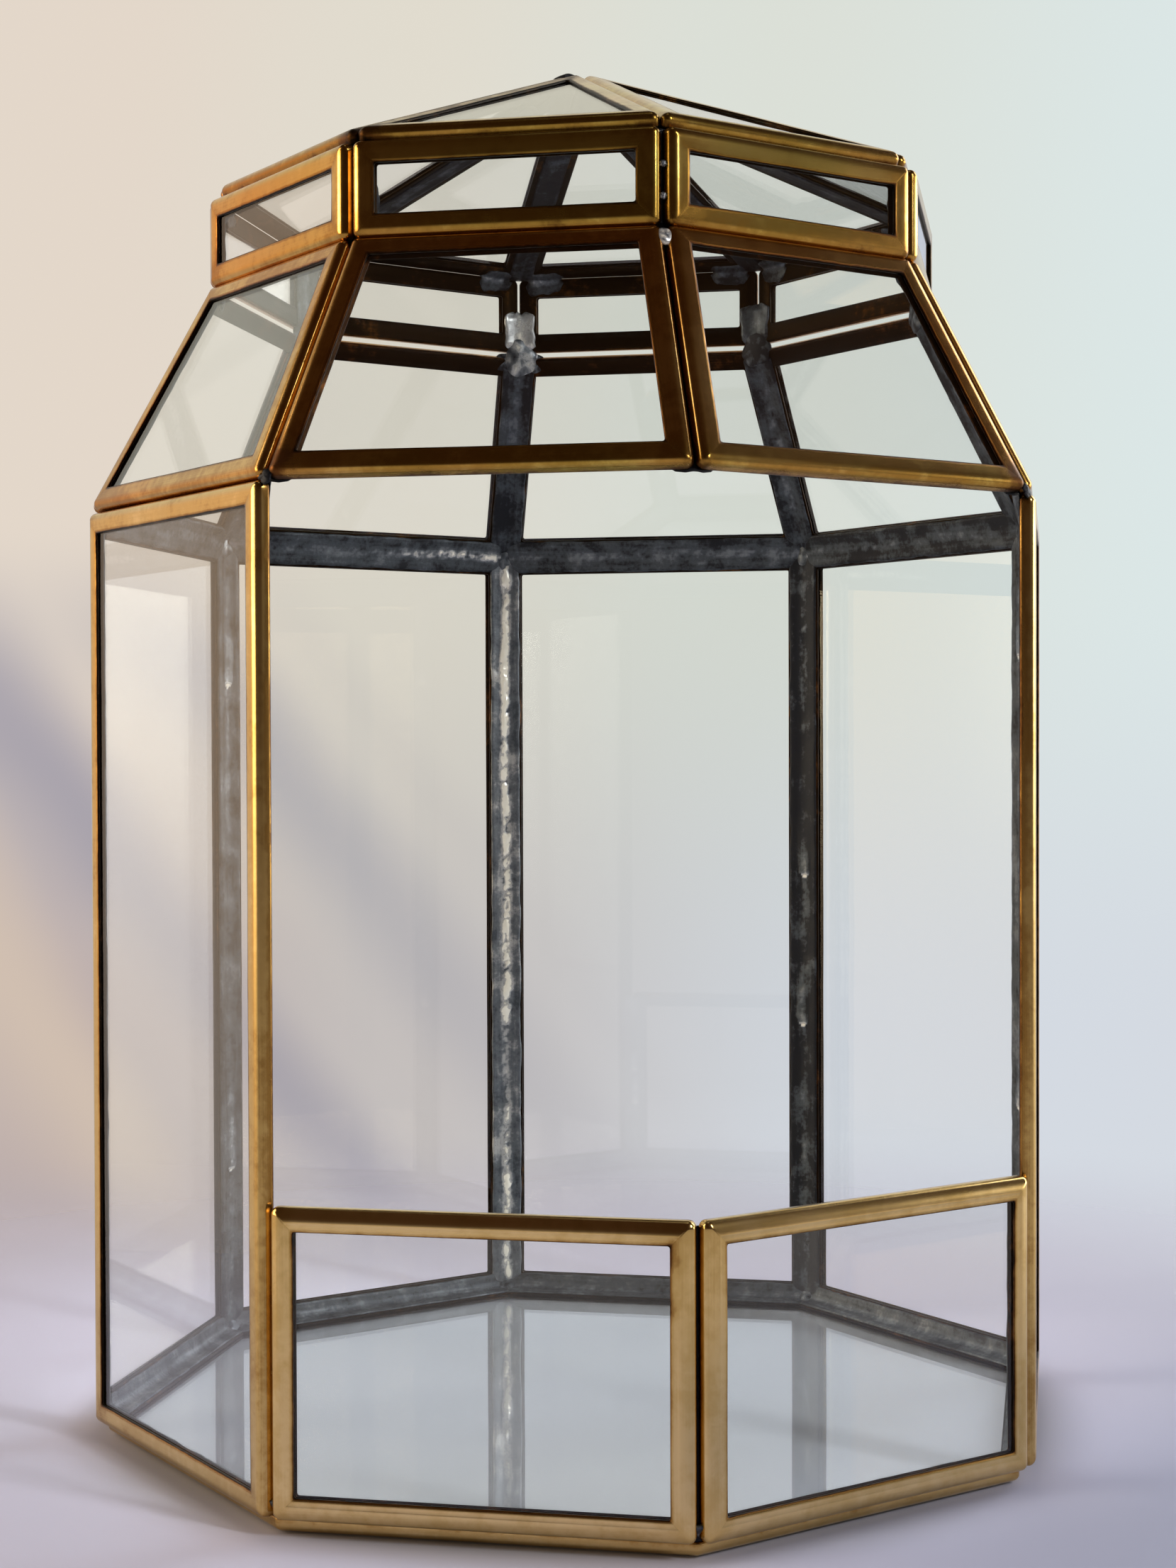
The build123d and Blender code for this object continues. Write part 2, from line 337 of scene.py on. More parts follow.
def make_solder():
    """Tin-lead solder gone dark blue-grey, mottled where it was wiped, with painted highlights: a bright
    streak, glints on its drips and brighter pieces.
    """
    material, tree = node_material("grey_solder")
    place = add(tree, "ShaderNodeTexCoord").outputs["Object"]
    drawn = add(tree, "ShaderNodeUVMap", uv_map="Along").outputs["UV"]
    shine = add(tree, "ShaderNodeAttribute", attribute_name="age").outputs["Fac"]
    clouds = noise_texture(tree, place, 120.0, detail=6.0, roughness=0.6, distortion=0.6)
    speckle = noise_texture(tree, place, 1100.0, detail=3.0, roughness=0.6)
    wiped = streak_texture(tree, drawn, 60.0, 700.0, distortion=0.3)

    tone = weighted_sum(tree, (clouds, 0.42), (speckle, 0.20), (wiped, 0.22), (shine, 0.55))
    normal = bump(tree, speckle, distance=0.12 * MM, strength=0.3)
    normal = bump(tree, wiped, distance=0.2 * MM, strength=0.3, below=normal)

    shader = add(tree, "ShaderNodeBsdfPrincipled")
    link(tree, ramp(tree, tone, SOLDER_TONES), shader.inputs["Base Color"])
    link(tree, ramp(tree, tone, [(0.5, 0.65), (0.85, 0.25)]), shader.inputs["Metallic"])
    roughness = ramp(tree, tone, [(0.35, 0.50), (0.55, 0.36), (0.85, 0.20)])
    link(tree, roughness, shader.inputs["Roughness"])
    link(tree, normal, shader.inputs["Normal"])
    finish_tree(tree, shader)
    return material


def make_glass():
    """Clear float glass, faintly smudged, that lets the lamps' light through."""
    material, tree = node_material("clear_glass")
    place = add(tree, "ShaderNodeTexCoord").outputs["Object"]
    smudges = noise_texture(tree, place, 28.0, detail=6.0, roughness=0.7, distortion=1.2)
    waves = noise_texture(tree, place, 9.0, detail=1.0, roughness=0.4)
    values = {"Base Color": (0.985, 0.995, 0.99, 1), "Transmission Weight": 1.0, "IOR": 1.5}
    shader = add(tree, "ShaderNodeBsdfPrincipled", values)
    link(tree, ramp(tree, smudges, [(0.6, 0.0), (0.9, 0.02)]), shader.inputs["Roughness"])
    link(tree, bump(tree, waves, distance=4 * MM, strength=0.02), shader.inputs["Normal"])
    clear = add(tree, "ShaderNodeBsdfTransparent", {"Color": (0.93, 0.95, 0.94, 1)})
    path = add(tree, "ShaderNodeLightPath")
    through = add(tree, "ShaderNodeMixShader")
    link(tree, path.outputs["Is Shadow Ray"], through.inputs[0])
    link(tree, shader.outputs[0], through.inputs[1])
    link(tree, clear.outputs[0], through.inputs[2])
    finish_tree(tree, through)
    return material


brass, solder, glass = make_brass(), make_solder(), make_glass()


# ---- Meshes ----
class Sheets:
    """Gathers lofted grids of points into one mesh, with a UV map along them and at each point a value for
    wear or tone with painted light.
    """

    def __init__(self):
        self.points, self.faces, self.uvs, self.wear_and_light_values = [], [], [], []

    def loft(self, rings, positions, wear_and_light_values, close_along, across):
        """Rings of points, closed across; open along with flat ends, or closed along too."""
        base, count, size = len(self.points), len(rings), len(rings[0])
        for ring, ring_wear_and_light in zip(rings, wear_and_light_values):
            self.points += ring
            self.wear_and_light_values += ring_wear_and_light
        total = positions[-1]
        for r in range(count if close_along else count - 1):
            near, far = r, (r + 1) % count
            u = (positions[near], positions[far] if far else total)
            for k in range(size):
                after = (k + 1) % size
                v = (across[k], across[k + 1])
                here, beyond = base + near * size, base + far * size
                self.faces.append((here + k, here + after, beyond + after, beyond + k))
                self.uvs.append(((u[0], v[0]), (u[0], v[1]), (u[1], v[1]), (u[1], v[0])))
        if not close_along:
            for r, order in ((0, range(size - 1, -1, -1)), (count - 1, range(size))):
                self.faces.append(tuple(base + r * size + k for k in order))
                self.uvs.append(tuple((positions[r], across[k]) for k in order))

    def piece(self, name, nodes, material):
        """The gathered mesh as one visible piece that stands for the CAD nodes named."""
        mesh = bpy.data.meshes.new(name)
        mesh.from_pydata([tuple(p) for p in self.points], [], self.faces)
        layer = mesh.uv_layers.new(name="Along")
        layer.data.foreach_set("uv", [c for face in self.uvs for uv in face for c in uv])
        age = mesh.attributes.new("age", "FLOAT", "POINT")
        age.data.foreach_set("value", self.wear_and_light_values)
        mesh.materials.append(material)
        for polygon in mesh.polygons:
            polygon.use_smooth = True
        mesh.update()
        obj = bpy.data.objects.new(name, mesh)
        bpy.context.scene.collection.objects.link(obj)
        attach(obj, "root")
        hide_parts(*nodes)


def channel_profile(roll_width):
    """The bent channel's section: (from the panel's edge inwards, from its inner face outwards, painted
    shade).

    The outer face rolls into the back over roll_width. The third number is painted shade: dark in the slot,
    along the lips where they meet the glass (dimming their highlight), on the soldered inside, and a little
    on the roll. Lengths are in millimetres until the last line.
    """
    face, thick, metal, lip = 4.9, 3.6, 0.62, 0.3
    roll_depth, inner_radius = 1.7, 0.75
    corner_steps, inner_steps = 12, 5
    quarter_turn = math.radians(90)
    outer = [(face, thick - metal, 1.0), (face, thick - lip - 0.08, 0.9)]
    outer += [(face - lip * 0.3, thick - lip * 0.3 - 0.08, 0.8), (face - lip, thick - 0.07, 0.4)]
    outer += [(face * 0.82, thick - 0.05, 0.0), (face * 0.65, thick - 0.02, 0.0)]
    for k in range(corner_steps + 1):
        turn = quarter_turn * k / corner_steps
        s = roll_width * (1 - math.sin(turn))
        outer.append((s, thick - roll_depth * (1 - math.cos(turn)), 0.10 * k / corner_steps))
    inner = []
    for k in range(inner_steps + 1):
        turn = quarter_turn * k / inner_steps
        s, n = inner_radius * (1 - math.cos(turn)), inner_radius * (1 - math.sin(turn))
        inner.append((s, n, 0.3 + 0.6 * k / inner_steps))
    inner += [(face * 0.5, 0.05, 1.0), (face - lip, 0.06, 1.0), (face, lip, 1.0), (face, metal, 1.0)]
    slot = [(metal, metal, 1.0), (metal, thick - metal - 0.3, 1.0), (metal * 2, thick - metal, 1.0)]
    return [(s * MM, n * MM, painted_shade) for s, n, painted_shade in [*outer, *inner, *slot]]


# the low front rails and the floor's are bent round more softly than the rest
PROFILES = {"sill": channel_profile(3.1), "floor": channel_profile(2.9)}
USUAL_PROFILE = channel_profile(2.2)


def running_lengths(samples):
    lengths = [0.0]
    for a, b in zip(samples, samples[1:]):
        lengths.append(lengths[-1] + (b - a).length)
    return lengths


def random_shift(rng):
    """Where in the endless noise a piece reads, so that no two pieces are alike."""
    return Vector([rng.uniform(-9, 9) for _ in range(3)])


LOOSEST, TIGHTEST = 0.02 * MM, -0.25 * MM
RUN_STEP, BEND_STEPS = 2.5 * MM, 6
MITRE_REACH, MITRE_STEP = 7.0 * MM, 0.6 * MM
WAVE, FINE_WAVE, CREASE = 0.09 * MM, 0.035 * MM, 0.03 * MM
WAVES, FINE_WAVES = 38, 160  # to the metre


def channel(sheets, panel, profile, seed, pressed=(), age=0.0, stains=()):
    """A channel bent round a panel's edge: straight runs, rounded bends and a crease at each mitre.

    pressed lists the sides that sit further out than the others: (side, distance). The darkening value
    darkens it all, part tarnish and part painted shade;
    dark marks darken it in places: (x, y, width, height, strength).
    """
    rng = random.Random(seed)
    shift = random_shift(rng)
    outline = panel.outline
    count = len(outline)
    sides = [(outline[(i + 1) % count] - outline[i]).normalized() for i in range(count)]
    outward = [Vector((d.y, -d.x)) for d in sides]
    insets = [rng.uniform(TIGHTEST, LOOSEST) for _ in range(count)]
    for edge, distance in pressed:
        insets[edge] = -distance

    def corner_point(i, offset):
        """Where the sides that meet at corner i cross, once each is moved in by offset and its inset."""
        a, b = outward[i - 1], outward[i]
        p = outline[i]
        reach_a = p.dot(a) - offset - insets[i - 1]
        reach_b = p.dot(b) - offset - insets[i]
        det = a.x * b.y - a.y * b.x
        return Vector(((reach_a * b.y - reach_b * a.y) / det, (a.x * reach_b - b.x * reach_a) / det))

    def centre_offset(s):
        return max(BEND_RADIUS, s * 1.08 + 0.15 * MM)

    rings, wear_and_light_values, walk = [], [], []

    def section(locate, near_corner, crease):
        """Add the profile at one place round the panel; locate(s) is the point s in from its edge."""
        ring, ring_wear_and_light = [], []
        for s, n, painted_shade in profile:
            p = locate(s)
            spot = panel.at(p.x, p.y, n)
            wave, fine = noise.noise(spot * WAVES + shift), noise.noise(spot * FINE_WAVES + shift)
            outer = 1 if n > CHANNEL_THICKNESS / 2 else -1
            reach = min(s / CHANNEL_FACE, 1)
            lift = reach * (wave * WAVE + fine * FINE_WAVE - crease * CREASE)
            spot += panel.normal * outer * lift
            spot.z = max(spot.z, cad_box[0].z)
            ring.append(spot)
            darkened = sum(
                strength * math.exp(-(((p.x - x) / wide) ** 2) - ((p.y - y) / high) ** 2)
                for x, y, wide, high, strength in stains
            )
            # painted shade near the mitres and along the creases, plus the profile's painted shade, over the
            # panel's tarnish and dark marks
            ring_wear_and_light.append(min(1.0, age + darkened + 0.15 * near_corner + painted_shade + 0.08 * crease * reach))
        rings.append(ring)
        wear_and_light_values.append(ring_wear_and_light)
        walk.append(locate(0.0))

    for i in range(count):
        j = (i + 1) % count
        length = (outline[j] - outline[i]).length
        steps = max(6, int(length / RUN_STEP))
        mitre = MITRE_STEP / length
        for t in sorted({0.0, 1.0, *[k / steps for k in range(steps + 1)], mitre, 1 - mitre}):
            near = max(0.0, 1 - min(t, 1 - t) * length / MITRE_REACH)

            def along_side(s, t=t, i=i, j=j):
                c = centre_offset(s)
                start = corner_point(i, c) + outward[i] * (c - s)
                end = corner_point(j, c) + outward[i] * (c - s)
                return start.lerp(end, t)

            section(along_side, near**2, 0.0)
        for k in range(1, BEND_STEPS):
            crease = 1.0 if k == BEND_STEPS // 2 else 0.0

            def round_bend(s, turn=k / BEND_STEPS, i=i, j=j):
                c = centre_offset(s)
                direction = (outward[i] * (1 - turn) + outward[j] * turn).normalized()
                return corner_point(j, c) + direction * (c - s)

            section(round_bend, 1.0, crease)
    # the last ring joins the first, so the last position is the loop's whole length
    positions = running_lengths([*walk, walk[0]])
    across = [0.0]
    for here, after in zip(profile, [*profile[1:], profile[0]]):
        across.append(across[-1] + math.hypot(after[0] - here[0], after[1] - here[1]))
    sheets.loft(rings, positions, wear_and_light_values, True, across)


PANELS = {}
for side in SIDE_ANGLES:
    PANELS[("sill_channel_" if side in OPEN_SIDES else "wall_channel_") + side] = wall_panel(side)
    PANELS["roof_channel_" + side] = roof_panel(side)
    PANELS["collar_channel_" + side] = collar_panel(side)
    PANELS["cap_channel_" + side] = cap_panel(side)
PANELS["floor_channel"] = floor_panel()

# The gaps at the neck and under the cap are narrower than in the CAD, and the neck is nearly shut in front.
PRESSED = {}
FRONT_SIDES = ("left_front", "front_left", "front_right", "right_front")
BOTTOM, RIGHT, TOP, LEFT = range(4)
for side in SIDE_ANGLES:
    in_front = side in FRONT_SIDES
    roof_top, collar_bottom = (1.10 * MM, 0.75 * MM) if in_front else (0.40 * MM, 0.25 * MM)
    PRESSED["roof_channel_" + side] = [(TOP, roof_top)]
    PRESSED["collar_channel_" + side] = [(BOTTOM, collar_bottom), (TOP, 0.30 * MM)]
    if not in_front:
        PRESSED["collar_channel_" + side] += [(RIGHT, -0.05 * MM), (LEFT, -0.05 * MM)]
    PRESSED["cap_channel_" + side] = [(BOTTOM, 0.20 * MM)]

# The higher brass is handled less and has gone browner; part of this darkening is painted shade.
TARNISH_AND_SHADE = {"floor": 0.0, "sill": -0.04, "wall": 0.15, "roof": 0.30, "collar": 0.20, "cap": 0.32}


def dark_hip(way):
    """Dark marks that follow one slanting side of a cap panel."""
    foot, head = Vector((way * COLLAR_WIDTH / 2, 0)), Vector((0, CAP_SLANT))
    spots = [foot.lerp(head, k / 6) for k in range(7)]
    return [(spot.x, spot.y, 7.0 * MM, 9.0 * MM, 0.30) for spot in spots]


# Dark marks by the front post, at the front shoulders, along the collar's lower bars and on the cap's hip.
LOWER_BAR = (0.0, 0.5 * MM, 60.0 * MM, 4.5 * MM, 0.22)
DARK_MARKS = {
    "sill_channel_front_left": [
        (39.0 * MM, 55.5 * MM, 2.2 * MM, 4.0 * MM, 0.55),
        (39.0 * MM, 46.0 * MM, 1.2 * MM, 2.0 * MM, 0.4),
    ],
    "roof_channel_front_left": [(-41.0 * MM, 3.0 * MM, 3.0 * MM, 5.0 * MM, 0.3)],
    "roof_channel_front_right": [(40.0 * MM, 3.0 * MM, 3.0 * MM, 5.0 * MM, 0.4)],
    "collar_channel_front_left": [LOWER_BAR],
    "collar_channel_front_right": [LOWER_BAR],
    "cap_channel_front_left": dark_hip(-1),
    "cap_channel_left_front": dark_hip(1),
}

for number, (node, panel) in enumerate(PANELS.items()):
    sheets = Sheets()
    kind = node.split("_")[0]
    profile = PROFILES.get(kind, USUAL_PROFILE)
    how = {"pressed": PRESSED.get(node, ()), "age": TARNISH_AND_SHADE[kind], "stains": DARK_MARKS.get(node, ())}
    channel(sheets, panel, profile, 100 + number, **how)
    sheets.piece("brass_" + node.replace("_channel", ""), [node], brass)


# ---- Solder ----
SEAM_STEP, SEAM_COLUMNS = 0.6 * MM, 26
SEAM_TAPER, SEAM_ROUNDING = 2.0 * MM, 1.5 * MM
DARKEST, BRIGHTEST = -0.4, 1.0


def within(low, value, high):
    return max(low, min(high, value))


def drips_at(rng, count):
    """Where runs of solder end in a round tip: (fraction along the seam, run's length)."""
    return [(rng.uniform(0.08, 0.9), rng.uniform(10, 24) * MM) for _ in range(count)]


def drip_relief(drips, along, span, sideways):
    """How far the drips stand proud here, and how much painted highlight they get: glints at the tips,
    fading along the runs.
    """
    proud, glint = 0.0, 0.0
    for tip, run in drips:
        behind_tip = ((along - tip) * span) / run
        if not -0.02 < behind_tip < 1:
            continue
        breadth = math.sqrt(min(1.0, max(0.0, behind_tip) / 0.10))
        across_run = sideways / (0.42 * breadth + 0.03)
        if abs(across_run) < 1:
            dome = math.sqrt(1 - across_run**2)
            proud += 0.45 * MM * dome * breadth * (1 - behind_tip)
            glint += 0.9 * max(0.0, 1 - behind_tip / 0.09) + 0.25 * dome * (1 - behind_tip)
    return proud, glint


def seam(
    sheets, start, end, into_a, into_b, seed,
    reach=4.5 * MM, fill=0.9 * MM, film=0.3 * MM, shine=0.0, streak=0.25, drips=(), ragged=0.0,
):
    """Solder run along a corner between two inner faces, which leave the edge along into_a and into_b.

    One setting brightens or darkens all of it with painted light, and another raises a ridge down its middle
    with a painted highlight along it; drips are runs that stand proud and end in a round tip with a painted
    glint; ragged spreads its edges and ends unevenly.
    """
    shift = random_shift(random.Random(seed))
    span = (end - start).length
    axis = (end - start) / span
    middle = (into_a + into_b).normalized()
    wide = (into_b - into_a).normalized()
    half = math.acos(within(-1.0, into_a.dot(middle), 1.0))
    steps = max(4, int(span / SEAM_STEP))
    rings, wear_and_light_values, walk = [], [], []
    for r in range(steps + 1):
        along = r / steps
        centre = start.lerp(end, along)
        close = min(along, 1 - along) * span
        taper = min(1.0, 0.1 + close / SEAM_TAPER)
        rounding = math.sqrt(1 - 0.8 * (1 - min(1.0, close / SEAM_ROUNDING)) ** 2)
        pool = fill / math.sin(half) * taper
        line = 0.22 * noise.noise(centre * 60 + shift)
        strength = max(0.0, 0.6 + 0.8 * noise.noise(centre * 28 + shift * 2))
        ring, ring_wear_and_light = [], []
        for k in range(SEAM_COLUMNS + 1):
            # q runs from -1 at one edge of the seam to 1 at the other
            q = 2 * k / SEAM_COLUMNS - 1
            flank = wide * (3 if q > 0 else -3)
            wander = (0.06 + ragged) * noise.noise(centre * 150 + shift + flank)
            wander += (0.02 + 0.5 * ragged) * noise.noise(centre * 500 + shift + flank)
            x = abs(q) * reach * (1 + wander) * rounding
            # the metal fills the corner to the depth of the pool and thins out onto the two faces
            level = x * math.cos(half)
            sideways = math.copysign(x * math.sin(half), q)
            deep = level < 2.5 * pool
            height = math.sqrt(level**2 + pool**2) if deep else level + 0.5 * pool**2 / level
            shaped = math.sqrt(max(0.0, 1 - q**6))
            flow = noise.noise(Vector((q * 1.7, 4.0 if along > 0.5 else 0.0, 0)) + shift)
            end_shift = ragged * 6 * MM * flow
            spot = centre + wide * sideways + axis * end_shift * (2 * along - 1) ** 2
            # lumps all over, and a grainy ridge near the middle with a painted highlight along it
            lump = noise.noise(spot * 190 + shift) * 0.30 + noise.noise(spot * 600 + shift) * 0.10
            grains = 0.7 + 0.8 * noise.noise(spot * 420 + shift) + 0.8 * noise.noise(spot * 1100 + shift)
            ridge = streak * math.exp(-(((q - line) / 0.26) ** 2)) * strength * grains
            drip_height, drip_glint = drip_relief(drips, along, span, q - line)
            proud = 0.5 * MM * ridge + drip_height
            thick = (film * (1 + lump) * taper + 0.2 * MM * lump + proud) * shaped
            rise = height * shaped + level * (1 - shaped) + max(thick, -0.1 * MM) - 0.04 * MM * (1 - shaped)
            ring.append(spot + middle * rise)
            # painted light: the offset, the highlight along the ridge and the glints on the drips, over the
            # lumps' tone
            ring_wear_and_light.append(within(DARKEST, shine + 0.5 * lump + 1.1 * ridge + drip_glint, BRIGHTEST))
        # the underside follows the two faces, a little inside the metal
        for q in (0.98, 0.0, -0.98):
            x = abs(q) * reach * rounding
            sideways = math.copysign(x * math.sin(half), q)
            ring.append(centre + wide * sideways + middle * (x * math.cos(half) - 0.12 * MM))
            ring_wear_and_light.append(DARKEST)
        rings.append(ring[::-1])
        wear_and_light_values.append(ring_wear_and_light[::-1])
        walk.append(centre)
    across = [k * 2 * reach / SEAM_COLUMNS for k in range(len(rings[0]) + 1)]
    sheets.loft(rings, running_lengths(walk), wear_and_light_values, False, across)


def blob(
    sheets, centre, normal, width, height, seed,
    stretch=1.0, lengthwise=None, shine=0.0, uneven=0.3,
):
    """A rounded, uneven lump of solder sitting on a surface; stretch lengthens it along lengthwise."""
    shift = random_shift(random.Random(seed))
    normal = normal.normalized()
    first = lengthwise - normal * lengthwise.dot(normal) if lengthwise else normal.orthogonal()
    first = first.normalized()
    second = normal.cross(first)
    rows, columns = 16, 36
    pole = 3
    rings, wear_and_light_values, walk = [], [], []
    for r in range(rows + 1):
        tilt = math.radians(pole + (180 - 2 * pole) * r / rows)
        ring, ring_wear_and_light = [], []
        for k in range(columns):
            turn = math.tau * k / columns
            direction = first * (math.sin(tilt) * math.cos(turn) * stretch)
            direction += second * (math.sin(tilt) * math.sin(turn))
            dents = noise.noise(direction * 1.3 + shift) + 0.25 * noise.noise(direction * 3.5 + shift)
            swell = 1 + uneven * dents
            lift = math.cos(tilt) * height * swell
            if lift < 0:
                lift *= 0.5
            ring.append(centre + direction * (width / 2 * swell) + normal * lift)
            # the offset is painted light, over random patches
            patch = 0.5 * noise.noise(direction * 2.5 + shift)
            ring_wear_and_light.append(within(DARKEST, shine + patch, BRIGHTEST))
        rings.append(ring)
        wear_and_light_values.append(ring_wear_and_light)
        walk.append(centre + normal * (math.cos(tilt) * height))
    across = [k * math.tau * width / 2 / columns for k in range(columns + 1)]
    sheets.loft(rings, running_lengths(walk), wear_and_light_values, False, across)


# the octagon's corners, in degrees; B, C and D are the ones the low sills reach
CORNERS = {"A": 180, "B": 225, "C": 270, "D": 315, "E": 0, "F": 135, "G": 90, "H": 45}
WALL_RADIUS = WALL_APOTHEM / math.cos(HALF_TURN)
COLLAR_RADIUS = COLLAR_APOTHEM / math.cos(HALF_TURN)
ROOF_TOP_RADIUS = ROOF_TOP_APOTHEM / math.cos(HALF_TURN)


def faces_at(corner_angle, lean):
    """The inward normals of the two panels that meet at a corner."""
    half_turn = math.degrees(HALF_TURN)
    outs = [compass(corner_angle + turn) for turn in (-half_turn, half_turn)]
    return [-(out * math.cos(lean) + Z * math.sin(lean)) for out in outs]


def corner_seam(sheets, corner_angle, start, end, lean, seed, **how):
    """A seam along the edge that two neighbouring panels share."""
    axis = (end - start).normalized()
    tangent = compass(corner_angle + 90)
    into = []
    for normal, way in zip(faces_at(corner_angle, lean), (-1, 1)):
        direction = normal.cross(axis).normalized()
        into.append(direction if direction.dot(tangent) * way > 0 else -direction)
    seam(sheets, start, end, into[0], into[1], seed, **how)


def level_seam(sheets, side, height, low_into, high_into, seed, **how):
    """A seam along a wall panel's level edge; the two faces leave it along low_into and high_into."""
    out = compass(SIDE_ANGLES[side])
    middle, half = out * WALL_APOTHEM + Z * height, Z.cross(out) * (WALL_WIDTH / 2)
    seam(sheets, middle - half, middle + half, low_into, high_into, seed, **how)


# post G gets the brightest painted highlight and long drips; H is painted the darkest
POST_TONE_AND_LIGHT = {"F": -0.08, "G": 0.20, "H": -0.25}
POST_RIDGE_HIGHLIGHT = {"F": 0.2, "G": 1.2, "H": 0.25}
DRIPS_G = [(0.375, 24 * MM), (0.14, 14 * MM), (0.96, 5 * MM)]
posts = Sheets()
for number, (corner, angle) in enumerate(CORNERS.items()):
    top = SILL_TOP - 1.2 * MM if corner in "BCD" else SHOULDER
    foot = compass(angle) * WALL_RADIUS
    drips = DRIPS_G if corner == "G" else drips_at(random.Random(180 + number), 2)
    shine, streak = POST_TONE_AND_LIGHT.get(corner, 0.0), POST_RIDGE_HIGHLIGHT.get(corner, 0.25)
    how = {"shine": shine, "streak": streak, "drips": drips}
    corner_seam(posts, angle, foot + Z * FLOOR_TOP, foot + Z * top, 0, 200 + number, **how)
posts.piece("solder_posts", ["post_solder"], solder)

floor_ring = Sheets()
for number, (side, angle) in enumerate(SIDE_ANGLES.items()):
    out = compass(angle)
    level_seam(floor_ring, side, FLOOR_TOP, -out, Z, 220 + number, fill=1.1 * MM)
for number, (corner, angle) in enumerate(CORNERS.items()):
    centre = compass(angle) * (WALL_RADIUS - 1.2 * MM) + Z * (FLOOR_TOP + 0.6 * MM)
    blob(floor_ring, centre, Z - compass(angle), 7 * MM, 1.6 * MM, 240 + number)
floor_ring.piece("solder_floor", ["floor_solder"], solder)

shoulder_ring = Sheets()
for number, side in enumerate(WALLED_SIDES):
    up = roof_panel(side).up
    # darker on the right, and a painted highlight along the ridge at the rear left
    shine = -0.14 if side in ("right_front", "right_rear") else -0.06
    how = {"fill": 0.7 * MM, "shine": shine, "streak": 0.8 if side == "rear_left" else 0.25}
    level_seam(shoulder_ring, side, SHOULDER, -Z, up, 260 + number, **how)
for number, corner in enumerate("AEFGH"):
    angle = CORNERS[corner]
    centre = compass(angle) * (WALL_RADIUS - 0.8 * MM) + Z * SHOULDER
    how = {"lengthwise": Z, "uneven": 0.45}
    blob(shoulder_ring, centre, -compass(angle), 7.5 * MM, 0.9 * MM, 280 + number, **how)
# a dark lump closes each outer corner beside the opening
for corner in "BD":
    out = compass(CORNERS[corner])
    lump = out * (WALL_RADIUS + 1.5 * MM) + Z * (SHOULDER + 0.8 * MM)
    blob(shoulder_ring, lump, out + Z * 0.4, 3.2 * MM, 0.7 * MM, 290, shine=-0.4, uneven=0.5)
shoulder_ring.piece("solder_shoulder", ["shoulder_solder"], solder)

hips = Sheets()
for number, (corner, angle) in enumerate(CORNERS.items()):
    foot = compass(angle) * WALL_RADIUS + Z * SHOULDER
    head = compass(angle) * ROOF_TOP_RADIUS + Z * ROOF_TOP
    corner_seam(hips, angle, foot, head, ROOF_LEAN, 300 + number, fill=0.6 * MM, shine=-0.12)
hips.piece("solder_hips", ["hip_solder"], solder)

necks = Sheets()
for number, (corner, angle) in enumerate(CORNERS.items()):
    out, tangent = compass(angle), compass(angle + 90)
    centre = out * (COLLAR_RADIUS - 1.0 * MM) + Z * (ROOF_TOP + 0.8 * MM)
    # the lump at G is painted bright, the others a little dark
    how = {"lengthwise": tangent, "shine": 0.25 if corner == "G" else -0.12, "uneven": 0.25}
    blob(necks, centre, -out, 9 * MM, 1.0 * MM, 320 + number, **how)
    # the lump at G spreads along the rails on both sides
    for way in (-1, 1) if corner == "G" else ():
        beside = centre + tangent * way * 4.2 * MM - Z * 1.2 * MM + out * 0.4 * MM
        how = {"stretch": 1.3, "lengthwise": tangent, "shine": -0.05, "uneven": 0.2}
        blob(necks, beside, -out, 5.0 * MM, 0.5 * MM, 330 + way, **how)
# one bead sits outside, on top of the front hip, with a painted highlight
front = compass(CORNERS["C"])
bead = front * (COLLAR_RADIUS + 3.0 * MM) + Z * (ROOF_TOP - 0.6 * MM)
blob(necks, bead, front + Z * 0.5, 4.2 * MM, 0.9 * MM, 339, shine=0.55, uneven=0.15)
necks.piece("solder_necks", ["neck_solder"], solder)

collars = Sheets()
for number, (corner, angle) in enumerate(CORNERS.items()):
    foot = compass(angle) * COLLAR_RADIUS + Z * COLLAR_BASE
    # the seam at G gets a painted highlight
    shine, streak = (0.5, 0.6) if corner == "G" else (-0.02, 0.15)
    how = {"shine": shine, "streak": streak, "ragged": 0.18}
    # at G and H it stops halfway up, so light comes through above it
    height = 10.5 * MM if corner in "GH" else 19.0 * MM
    corner_seam(collars, angle, foot, foot + Z * height, 0, 340 + number, **how)
# small beads show in the groove between the two front panels, painted bright
for height, seed in ((5.5 * MM, 363), (12.0 * MM, 370)):
    bead = front * (COLLAR_RADIUS + 1.6 * MM) + Z * (COLLAR_BASE + height)
    blob(collars, bead, front, 1.5 * MM, 0.6 * MM, seed, shine=0.3, uneven=0.15)
collars.piece("solder_collar", ["collar_solder"], solder)

# short seams under the cap, from each collar corner inwards along the side
EAVE_NEAR, EAVE_FAR = 2.5 * MM, 12.0 * MM
how = {"reach": 3.6 * MM, "fill": 0.7 * MM, "shine": -0.05, "ragged": 0.35}
eaves = Sheets()
for number, (side, angle) in enumerate(SIDE_ANGLES.items()):
    out, tangent = compass(angle), Z.cross(compass(angle))
    half = COLLAR_APOTHEM * math.tan(HALF_TURN)
    for way in (-1, 1):
        near = out * COLLAR_APOTHEM + Z * COLLAR_TOP + tangent * way * (half - EAVE_NEAR)
        far = out * COLLAR_APOTHEM + Z * COLLAR_TOP + tangent * way * (half - EAVE_FAR)
        first, last = (near, far) if way < 0 else (far, near)
        seam(eaves, first, last, -Z, cap_panel(side).up, 360 + 2 * number + way, **how)
eaves.piece("solder_eaves", ["eave_solder"], solder)

